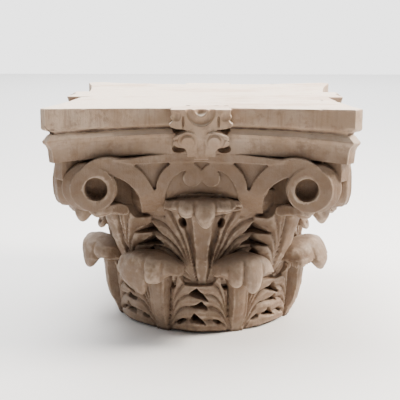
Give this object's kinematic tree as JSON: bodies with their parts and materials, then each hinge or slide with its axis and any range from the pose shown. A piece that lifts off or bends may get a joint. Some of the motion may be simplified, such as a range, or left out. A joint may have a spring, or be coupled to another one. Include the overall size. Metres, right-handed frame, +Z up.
{
  "type": "corinthian capital",
  "caption": "Carved marble Corinthian capital: square abacus with hollow sides, corner volutes and two rows of curled acanthus leaves on a bell.",
  "frame": {"origin": "centre of the flat round bed underneath, which rests on the column's shaft", "axes": "+Z up along the column's axis; -Y is the front face, and +X is the side of the abacus on its right"},
  "size_m": [0.6, 0.6, 0.475],
  "materials": {
    "marble": "aged carved marble, tanned in the shade and pale on top, dry and matt"
  },
  "bodies": {
    "root": {"corinthian_capital": "marble"}
  },
  "joints": []
}
